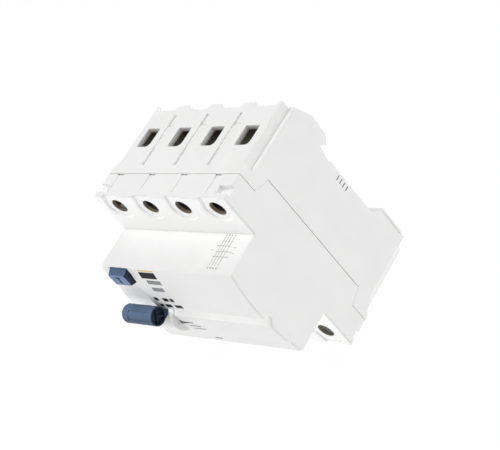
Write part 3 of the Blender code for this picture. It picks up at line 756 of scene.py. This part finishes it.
def rear_base():
    """The base's shell with its toothed inner block, chambers, rail seat and back."""
    base = solid("base_shell", prism(base_outline(), "X", -HALF_WIDTH, HALF_WIDTH, BASE_EDGE))
    inner_x, back_in, room_z, wing = HALF_WIDTH - WALL, 57.9, 26.0, HALF_WIDTH - 0.3
    gusset = [(LEDGE_X - 1, 26), (wing, 26), (wing, 30.3), (LEDGE_X - 0.05, 33.8)]
    for side in (1, -1):
        join(base, prism(rear_edge(), "Z", side * (room_z + 4.5), side * HALF_HEIGHT, 0.0, 0.4))
        for end in (1, -1):
            corner = [(end * x, d) for x, d in gusset]
            join(base, prism(corner, "Z", side * (LEDGE_Z - 2), side * (HALF_HEIGHT - 0.1)))
    cut(base, prism(seam_line(TOP_GAP, SLANT_GAP, RUN_GAP) + [(0, -FAR), (0, FAR)], "X", -FAR, FAR))
    cut(base, box((-inner_x, 20, -room_z), (inner_x, back_in, room_z)))
    for side in (1, -1):
        for x in POLE_X:
            terminal_bay(base, x, side)
        for x in WALL_X:
            pole_slot(base, x, side)
    clip_channel(base)
    back_relief(base)
    heel_marks(base)
    return finish(base, "casing", WHITE, ["rear_base"])


def terminal_bay(base, x, side):
    """The chamber round one clamp and the wire entry above it, one of whose corners is round."""
    room, ceiling, outside = side * 25.0, side * 39.0, side * HALF_HEIGHT
    cut(base, box((x - 6, 20, room), (x + 6, 56.9, ceiling)))
    half, front, back = 3.5, 41.2, 50.2
    entry = [(x - half, front, 0.4), (x + half, front, 2.2), (x + half, back, 0.4), (x - half, back, 0.8)]
    cut(base, flared(entry, "Z", side * 38, outside, 0.2))


def pole_slot(base, x, side):
    """The two slots between two poles, flush with the left side of the wide shallow dip between them."""
    outside = side * (HALF_HEIGHT + 1)
    for front, back in ((32.0, 40.6), (51.1, 56.5)):
        slot = rectangle(x - 2.0, x - 0.7, front, back, 0.3)
        cut(base, prism(slot, "Z", side * (HALF_HEIGHT - 0.9), outside))
    dip = rectangle(x - 2, x + 2, 40.3, 51.4, 0.4)
    cut(base, prism(dip, "Z", side * (HALF_HEIGHT - 0.45), outside))


def clip_channel(base):
    """The channel that the rail clip slides in, and the cross bar that its spring stands on."""
    clip_low, clip_high = limits("rail_clip")
    half, front, back = clip_high.x + GAP, clip_low.y - GAP, clip_high.y + GAP
    cut(base, box((-half, front, -50), (half, back, -14.2)))
    cut(base, box((2 - half, front + 1, -50), (half - 2, 70, -13.8)))
    join(base, box((-1.8, front - 1, -33.4), (1.8, back - 1.3, -31.9)))


def back_relief(base):
    """Coring pockets in the thick parts of the back, so that the walls stay even."""
    half = 5.2
    for x in (-26.5, -13.5, 13.5, 26.5):
        for low, high in ((-34.5, -22.5), (20.5, 31.5)):
            cut(base, prism(rectangle(x - half, x + half, low, high, 0.8), "Y", 61.6, 70))


def heel_marks(base):
    """The fine groove along the heel on both sides, ending in a dimple."""
    dimple = [(63.6, -35.2), (64.6, -35.2), (64.6, -36.4), (63.6, -36.0)]
    for end in (1, -1):
        face, beyond = end * (HALF_WIDTH - 0.3), end * (HALF_WIDTH + 1)
        cut(base, prism(rectangle(63.9, 64.15, -21.8, -35.4), "X", face, beyond))
        cut(base, prism(dimple, "X", face - 0.3 * end, beyond))


# ---------------- handle and button


def handle_drum():
    """The white shell that turns in the cover, with the hub, the crank pin and the web's slot."""
    x0, x1, wall = DRUM_LOW.x, DRUM_HIGH.x, 1.6
    drum = solid("drum_shell", disc("X", PIVOT, DRUM_R, x0, x1, 0.25, 96))
    cut(drum, disc("X", PIVOT, DRUM_R - wall, x0 + wall, x1 - wall, sides=72))
    lift = math.atan2(GRIP_CENTRE[1] - PIVOT[1], PIVOT[0] - GRIP_CENTRE[0])
    crank = (PIVOT[0] + CRANK_R * math.sin(lift), PIVOT[1] + CRANK_R * math.cos(lift))
    cut(drum, prism(rectangle(PIVOT[0] + 2.6, PIVOT[0] + 20, -30, 30), "X", x0 + wall, x1 - wall))
    join(drum, disc("X", PIVOT, 2.2, x0 + wall / 2, x1 - wall / 2, sides=32))
    join(drum, disc("X", crank, 0.7, x0 + wall / 2, x1 - wall / 2, sides=20))
    cut(drum, disc("X", PIVOT, PIN_HOLE_R, x0 - 1, x1 + 1, sides=32))
    cut(drum, radial_plate(DRUM_R - 2.2, DRUM_R + 1, 1.05, x0 + 1.8, x1 - 1.8))
    return finish(drum, "handle", WHITE, ["handle_drum"])


def radial_plate(inner, outer, half_thick, x0, x1, edge=0.0):
    """A flat plate along the handle's web, between two distances from the pivot."""
    out = Vector((-math.cos(WEB_ANGLE), math.sin(WEB_ANGLE)))
    across = Vector((math.sin(WEB_ANGLE), math.cos(WEB_ANGLE)))
    middle = Vector(PIVOT)
    corners = []
    for reach, way in ((inner, 1), (outer, 1), (outer, -1), (inner, -1)):
        corner = middle + out * reach + across * half_thick * way
        corners.append((corner.x, corner.y, edge) if edge else (corner.x, corner.y))
    return prism(corners, "X", x0, x1, edge)


def handle_grip():
    """The barrel, chamfered at its closed end, its web, its finger panel and the ribs in its open end."""
    x0, x1 = GRIP_LOW.x, GRIP_HIGH.x
    profile = [(x0, GRIP_R - 1.75), (x0 + 0.12, GRIP_R - 1.5), (x0 + 1.55, GRIP_R - 0.12)]
    profile += [(x0 + 1.85, GRIP_R), (x1 - 0.2, GRIP_R), (x1, GRIP_R - 0.2)]
    grip = solid("handle_barrel", turned(profile, "X", GRIP_CENTRE, 96))
    join(grip, radial_plate(DRUM_R + GAP, 13.5, 0.75, DRUM_LOW.x + 0.8, x1 - 0.15, 0.15))
    join(grip, radial_plate(DRUM_R - 2.1, DRUM_R + 2, 0.75, DRUM_LOW.x + 2.1, DRUM_HIGH.x - 2.1))
    shoulder = [(-6.6, 5.0, 0.4), (-3.1, 1.75, 0.3), (-1.9, -0.7, 0.3)]
    shoulder += [(-3.4, -1.5, 0.2), (-5.0, -2.0, 0.2), (-6, 0)]
    join(grip, prism(shoulder, "X", x1 - 1.9, x1 - 0.1, 0.15))
    cut(grip, finger_panel(x0 + 5.1, x1 - 1.7))
    cut(grip, disc("X", GRIP_CENTRE, GRIP_R - 0.55, x1 - 1.5, x1 + 2, sides=64))
    join(grip, rib(50, 0.28, -3.4, 3.4, x1 - 5.0))
    join(grip, rib(-51, 0.25, -0.1, 3.35, x1 - 4.7))
    return finish(grip, "handle", BLUE, ["handle_grip"])


def rib(angle, half_thick, near, far, x0):
    """A rib inside the barrel's open end, between two reaches from its middle."""
    along = Vector((math.cos(math.radians(angle)), math.sin(math.radians(angle))))
    aside = Vector((-along.y, along.x)) * half_thick
    middle = Vector(GRIP_CENTRE)
    outline = [middle + along * far + aside, middle + along * far - aside]
    outline += [middle + along * near - aside, middle + along * near + aside]
    return prism([tuple(corner) for corner in outline], "X", x0, x0 + 4.1)


def finger_panel(x0, x1):
    """The tool for the shallow panel on the barrel's outer side, where a finger rests."""
    inner = arc(GRIP_CENTRE, GRIP_R - 0.2, 166, 106, 14)
    return prism(inner + arc(GRIP_CENTRE, 6, 106, 166, 14), "X", x0, x1)


def test_button():
    """The cap, which tapers towards its front, its collar, its stem and its sunk letter."""
    (x0, x1), (z0, z1) = BUTTON_X, BUTTON_Z
    front = BUTTON_LOW.y
    sides = [(3.0, 0, 0, 0.3), (-0.6, 0, 0, 0.35), (front + 0.35, 0.92, 0.9, 0.35)]
    sides += [(front + 0.1, 1.0, 1.0, 0.4), (front, 1.25, 1.2, 0.4)]
    levels = []
    for depth, share_x, share_z, radius in sides:
        left, right, low, high = 0.35 * share_x, 0.5 * share_x, 0.8 * share_z, 1.0 * share_z
        levels.append((depth, x0 + left, x1 - right, z0 + low, z1 - high, radius))
    button = solid("test_button_cap", stack(levels))
    join(button, box((x0 - 1.1, 2.2, z0 - 1.0), (x1 + 1.1, 3.0, z1 - 1.0), 0.15))
    middle_x, middle_z = (x0 + x1) / 2, (z0 + z1) / 2
    join(button, box((middle_x - 2, 2.6, middle_z - 2), (middle_x + 2, 8.0, middle_z + 2), 0.3))
    half_letter = [(1.5, 1.9), (1.5, 1.2), (0.4, 1.2), (0.4, -1.9)]
    letter = half_letter + [(-u, v) for u, v in reversed(half_letter)]
    mark = [(middle_x + u, middle_z - 0.1 + v) for u, v in letter]
    cut(button, prism(mark, "Y", front + 0.35, front - 1))
    return finish(button, "test_button", BLUE, ["test_button"])


# ---------------- printed marks


def front_depth(z):
    """Depth of the nose's front at a height."""
    points = sorted((p[1], p[0]) for p in nose_outline())
    for (z0, d0), (z1, d1) in zip(points, points[1:]):
        if z0 <= z <= z1:
            return d0 + (d1 - d0) * (z - z0) / (z1 - z0)
    return 0.0


PRINT_PROUD = 0.03
PRINT_SUNK = 0.15


def mark_front(x0, x1, z0, z1):
    """A printed patch that follows the nose's bowed front."""
    heights = [z0 + (z1 - z0) * k / 4 for k in range(5)]
    outline = [(front_depth(z) - PRINT_PROUD, z) for z in heights]
    outline += [(front_depth(z) + PRINT_SUNK, z) for z in reversed(heights)]
    return prism(outline, "X", x0, x1)


def mark_top(x0, x1, d0, d1):
    """A printed patch on the nose's top, which falls slightly towards the front."""
    (d0, z0), (d1, z1) = [(d, NOSE_HALF - 0.25 + (d + 0.3) / 17.3 * 0.35) for d in (d0, d1)]
    outline = [(d0, z0 + PRINT_PROUD), (d1, z1 + PRINT_PROUD), (d1, z1 - PRINT_SUNK), (d0, z0 - PRINT_SUNK)]
    return prism(outline, "X", x0, x1)


def printed(name, meshes, looks):
    """Several patches as one piece on the casing."""
    whole = bmesh.new()
    for mesh in meshes:
        data = bpy.data.meshes.new("patch")
        mesh.to_mesh(data)
        mesh.free()
        whole.from_mesh(data)
        bpy.data.meshes.remove(data)
    return finish(solid(name, whole), "casing", looks)


def front_prints():
    """Plain bars where a real device carries its words, and the pointer beside the drum."""
    dark = [(-15.2, -6.4, 17.3, 20.2)]
    dark += [(-17.4, -15.2, 5.4, 7.2), (-12.5, -9.5, 5.4, 7.2), (-8.6, -6.6, 5.4, 7.2)]
    dark += [(-17.2, -15.2, 1.7, 3.5), (-14.1, -10.5, 1.7, 3.5), (-8.8, -4.8, 1.7, 3.5)]
    printed("print_front_dark", [mark_front(*bar) for bar in dark], BLACK_INK)
    printed("print_front_accent", [mark_front(-15.2, -6.4, 20.7, 21.2)], YELLOW_INK)
    grey = [(-13.5 + 1.3 * k, -12.5 + 1.3 * k, 14.5, 16.4) for k in range(6)]
    grey += [(-13.4 + 1.3 * k, -12.4 + 1.3 * k, 10.9, 12.8) for k in range(5)]
    grey += [(-13.8, -8.6, -8.3, -7.7), (-12.6, -6.4, -10.4, -9.9)]
    grey += [(-11.6, -5.0, -12.0, -11.6), (-6.9, -3.0, -19.3, -18.7)]
    printed("print_front_grey", [mark_front(*bar) for bar in grey], GREY_INK)
    pointer = [(DRUM_HIGH.x + 0.5, -6.9), (DRUM_HIGH.x + 5.0, -8.3), (DRUM_HIGH.x + 0.5, -9.0)]
    surface = min(front_depth(z) for _, z in pointer) - PRINT_PROUD
    printed("print_pointer", [prism(pointer, "Y", surface, -1.6)], GREY_INK)


def nose_top_print():
    """A bare circuit drawing: four lines with their ends, three links and three stubs."""
    lines = []
    for x in (22.4, 23.8, 25.2, 26.8):
        lines += [mark_top(x - 0.11, x + 0.11, 3.2, 15.6), mark_top(x - 0.5, x + 0.5, 13.4, 13.65)]
        lines += [mark_top(x - 0.3, x + 0.3, 1.8, 2.5), mark_top(x - 0.3, x + 0.3, 16.0, 16.5)]
    lines += [mark_top(21.4, 29.6, d - 0.12, d + 0.12) for d in (7.0, 9.2)]
    lines += [mark_top(20.6, 27.6, 11.5, 11.75)]
    for x0, x1, depth in ((29.3, 30.7, 11.0), (30.0, 31.2, 8.5), (18.9, 20.1, 9.5)):
        lines.append(mark_top(x0, x1, depth, depth + 0.25))
    printed("print_nose_top", lines, PALE_INK)


def side_ticks():
    """Four short bars for the code on the right side."""
    inner, outer = HALF_WIDTH - 0.15, HALF_WIDTH + 0.02
    ticks = [box((inner, 56.7, z), (outer, 58.9, z + 0.4)) for z in (-1.9, 0.1, 2.1, 4.1)]
    printed("print_side_ticks", ticks, GREY_INK)


# ---------------- terminals


def terminal_screw(row, number):
    """A slotted and crossed screw with a chamfered head and a 0.8 mm thread."""
    name = f"{row}_terminal_screw_{number}"
    low, high = limits(name)
    x, z = (low.x + high.x) / 2, (low.z + high.z) / 2
    front, tip, head, shank, root, pitch = low.y, high.y, 2.9, 1.9, 1.55, 0.8
    profile = [(front, head - 0.45), (front + 0.15, head - 0.15), (front + 0.5, head)]
    profile += [(front + 2.7, head), (front + 3.0, head - 0.3), (front + 3.0, shank), (front + 4.0, shank)]
    for k in range(int((tip - 1.0 - front - 4.2) / pitch)):
        start = front + 4.2 + pitch * k
        profile += [(start, shank), (start + 0.1, shank), (start + 0.4, root), (start + 0.5, root)]
    profile += [(tip - 0.6, 1.75), (tip, 1.2)]
    screw = solid(f"{row}_screw_{number}", turned(profile, "Y", (x, z), 28))
    cut(screw, box((x - 3.2, front - 1, z - 0.45), (x + 3.2, front + 1.2, z + 0.45)))
    cut(screw, box((x - 0.45, front - 1, z - shank), (x + 0.45, front + 1.6, z + shank)))
    socket = []
    for depth, half, radius in ((front - 0.1, 0.9, 0.2), (front + 1.8, 0.3, 0.1)):
        socket.append((depth, x - half, x + half, z - half, z + half, radius))
    cut(screw, stack(socket))
    return finish(screw, name, ZINC, [name])


# ---------------- springs


def coil(start, along, radius, length, turns, wire):
    """A wound wire spring from a start point, wound about Y or Z."""
    steps, sides = 26, 10
    axis, side = Vector((0, 1, 0)), Vector((0, 0, 1))
    if along == "Z":
        axis, side = side, axis
    mesh = bmesh.new()
    rings = []
    total = turns * steps
    for i in range(total + 1):
        turn = 2 * math.pi * i / steps
        out = Vector((1, 0, 0)) * math.cos(turn) + side * math.sin(turn)
        centre = spot(*start) + out * radius + axis * (length * i / total)
        around = [2 * math.pi * k / sides for k in range(sides)]
        offsets = [(out * math.cos(a) + axis * math.sin(a)) * wire for a in around]
        rings.append([mesh.verts.new(centre + offset) for offset in offsets])
    return skin(mesh, rings)


def opening_spring():
    """The spring between the cover and the contact carrier."""
    low, high = limits("carrier_spring")
    front, long = low.y, high.y - low.y
    made = solid("opening_spring", coil((0, front + 0.3, 14), "Y", 2.6, long - 0.6, 5, 0.3))
    finish(made, "casing", WIRE, ["carrier_spring"])
    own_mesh(made)


def clip_return_spring():
    """The spring under the rail clip's bar."""
    low, high = limits("rail_clip_spring")
    middle, long = (low.y + high.y) / 2, high.z - low.z
    made = solid("clip_return_spring", coil((0, middle, low.z + 0.2), "Z", 1.0, long - 0.4, 6, 0.2))
    finish(made, "casing", WIRE, ["rail_clip_spring"])
    spot(0, middle, low.z) * MM
    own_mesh(made)


def test_leaf_spring():
    """The brass leaf behind the test button, with a short foot that turns back below its knee."""
    low, high = limits("test_contact_spring")
    knee, half = low.z + 2.2, 0.15
    spine = [(low.y + half, high.z - (high.z - knee) * k / 16) for k in range(17)]
    spine += [(low.y + half + 1.0 * k, knee - 0.5 * k) for k in range(1, 4)]
    outline = [(d - half, z - half) for d, z in spine] + [(d + half, z + half) for d, z in reversed(spine)]
    made = solid("test_leaf_spring", prism(outline, "X", low.x, high.x))
    finish(made, None, BRASS, ["test_contact_spring"])
    middle = (low.x + high.x) / 2
    root, tip = spot(middle, low.y, knee) * MM, spot(middle, low.y, knee + 8) * MM
    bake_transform(made)


# ---------------- carried-over nodes


CARRIED_EDGE = 0.15


def carried_looks():
    """Node materials, and slightly broken edges, for the CAD nodes that keep their shape."""
    looks = {
        "white_plastic": WHITE, "blue_grey_plastic": BLUE, "dark_plastic": DARK, "zinc_steel": ZINC,
        "spring_steel": WIRE, "copper": COPPER, "contact_brass": BRASS, "core_tape": TAPE,
        "resistor_body": LACQUER,
    }
    for part in frame["record"]["subparts"]:
        node = frame["nodes"][part["node"]]
        node.data.materials.clear()
        node.data.materials.append(looks[part["material_slot"]])
        wound = part["material_slot"] == "spring_steel" or part["node"] == "toroid_winding"
        if node.hide_render or wound:
            continue
        edge = node.modifiers.new("edge", "BEVEL")
        edge.width, edge.segments, edge.limit_method = CARRIED_EDGE * MM, 2, "ANGLE"
        edge.angle_limit = math.radians(40)
        soften(node)


# ---------------- studio


# Strengths of the floor's glow on the object and to the camera, and of the room
FLOOR_GLOW = 1.2
FLOOR_SEEN = 1.02
HORIZON = 2.2
ZENITH = 0.0

# Directions of the room's two dim patches, where each begins and is full, and what is left there
DIM_WAY = (0.6, -0.8, 0.2)
DIM_SPAN = (0.5, 0.65)
DIM_SHARE = 0.0
BACK_WAY = (-0.6, 0.8, 0.0)
BACK_SPAN = (0.1, 0.6)
BACK_SHARE = 0.52

# A point between the button and the grip, and the camera; metres
CONTROLS = (-0.02, -0.06, 0.01)
CAMERA_PLACE = (0.3839, -0.2397, 0.2826)
CAMERA_RIGHT = Vector((0.68075, 0.47821, -0.55488))
CAMERA_UP = Vector((-0.02742, 0.77361, 0.63307))
CAMERA_LENS = 101.75


def pale_floor():
    """A white sweep that glows, so that shadows on it stay faint."""
    mesh = bmesh.new()
    bmesh.ops.create_grid(mesh, x_segments=1, y_segments=1, size=3.0)
    floor = solid("floor", mesh)
    floor.location.z = CAD_BOX[0].z - 0.0002
    m = Nodes("floor_white")
    m.put("Base Color", (0.9, 0.9, 0.9))
    m.put("Roughness", 0.9)
    glow = m.node("ShaderNodeEmission")
    seen = m.node("ShaderNodeLightPath").outputs["Is Camera Ray"]
    m.link(m.spread(seen, FLOOR_GLOW, FLOOR_SEEN), glow.inputs["Strength"])
    blend = m.node("ShaderNodeMixShader")
    blend.inputs[0].default_value = 0.93
    m.link(m.shader.outputs[0], blend.inputs[1])
    m.link(glow.outputs[0], blend.inputs[2])
    m.link(blend.outputs[0], m.tree.nodes["Material Output"].inputs["Surface"])
    floor.data.materials.append(m.made)


def soft_world():
    """A bright room with a dim patch at the front right and a softer one behind, which draw the edges."""
    world = bpy.data.worlds.new("studio")
    bpy.context.scene.world = world
    world.use_nodes = True
    tree = world.node_tree
    sky = tree.nodes["Background"]
    sky.inputs["Color"].default_value = (1.0, 1.0, 1.0, 1.0)
    way = tree.nodes.new("ShaderNodeTexCoord").outputs["Generated"]
    split = tree.nodes.new("ShaderNodeSeparateXYZ")
    tree.links.new(way, split.inputs[0])
    level = tree.nodes.new("ShaderNodeMapRange")
    level.inputs["To Min"].default_value, level.inputs["To Max"].default_value = HORIZON, ZENITH
    tree.links.new(split.outputs[2], level.inputs["Value"])
    strength = level.outputs["Result"]
    for towards, span, least in ((DIM_WAY, DIM_SPAN, DIM_SHARE), (BACK_WAY, BACK_SPAN, BACK_SHARE)):
        facing = tree.nodes.new("ShaderNodeVectorMath")
        facing.operation = "DOT_PRODUCT"
        facing.inputs[1].default_value = Vector(towards).normalized()
        tree.links.new(way, facing.inputs[0])
        patch = tree.nodes.new("ShaderNodeMapRange")
        patch.interpolation_type = "SMOOTHSTEP"
        for key, value in zip(("From Min", "From Max", "To Min", "To Max"), (*span, 1.0, least)):
            patch.inputs[key].default_value = value
        tree.links.new(facing.outputs["Value"], patch.inputs["Value"])
        both = tree.nodes.new("ShaderNodeMath")
        both.operation = "MULTIPLY"
        tree.links.new(strength, both.inputs[0])
        tree.links.new(patch.outputs["Result"], both.inputs[1])
        strength = both.outputs[0]
    tree.links.new(strength, sky.inputs["Strength"])


def soft_light(name, place, target, size, power, only=None):
    """A square lamp turned to a target; it can be kept to some pieces."""
    data = bpy.data.lights.new(name, "AREA")
    data.size = size
    data.energy = power
    light = bpy.data.objects.new(name, data)
    light.location = place
    light.rotation_mode = "QUATERNION"
    light.rotation_quaternion = (Vector(target) - Vector(place)).to_track_quat("-Z", "Y")
    bpy.context.scene.collection.objects.link(light)
    if only:
        group = bpy.data.collections.new(f"{name}_receivers")
        for piece in only:
            group.objects.link(piece)
        light.light_linking.receiver_collection = group


def camera():
    """The camera fitted to the photo's edges."""
    data = bpy.data.cameras.new("camera")
    data.lens = CAMERA_LENS
    data.sensor_width = 36.0
    data.shift_x, data.shift_y = -0.001, 0.001
    data.clip_start, data.clip_end = 0.01, 20.0
    made = bpy.data.objects.new("camera", data)
    turn = Matrix((CAMERA_RIGHT, CAMERA_UP, CAMERA_RIGHT.cross(CAMERA_UP))).transposed().to_4x4()
    made.matrix_world = Matrix.Translation(CAMERA_PLACE) @ turn
    bpy.context.scene.collection.objects.link(made)
    bpy.context.scene.camera = made


front_cover()
rear_base()
handle_drum()
grip = handle_grip()
button = test_button()
front_prints()
nose_top_print()
side_ticks()
for row in ("line", "load"):
    for number in (1, 2, 3, 4):
        terminal_screw(row, number)
opening_spring()
clip_return_spring()
test_leaf_spring()
carried_looks()
pale_floor()
soft_world()
soft_light("overhead", (0.0, -0.17, 0.9), (0, -0.03, 0), 0.5, 5.0)
soft_light("button_fill", (-0.20, -0.56, 0.16), CONTROLS, 0.35, 14.0, only=[button])
soft_light("grip_fill", (-0.14, -0.34, 0.50), CONTROLS, 0.35, 8.5, only=[grip])
camera()
bpy.context.scene.view_settings.view_transform = "Standard"
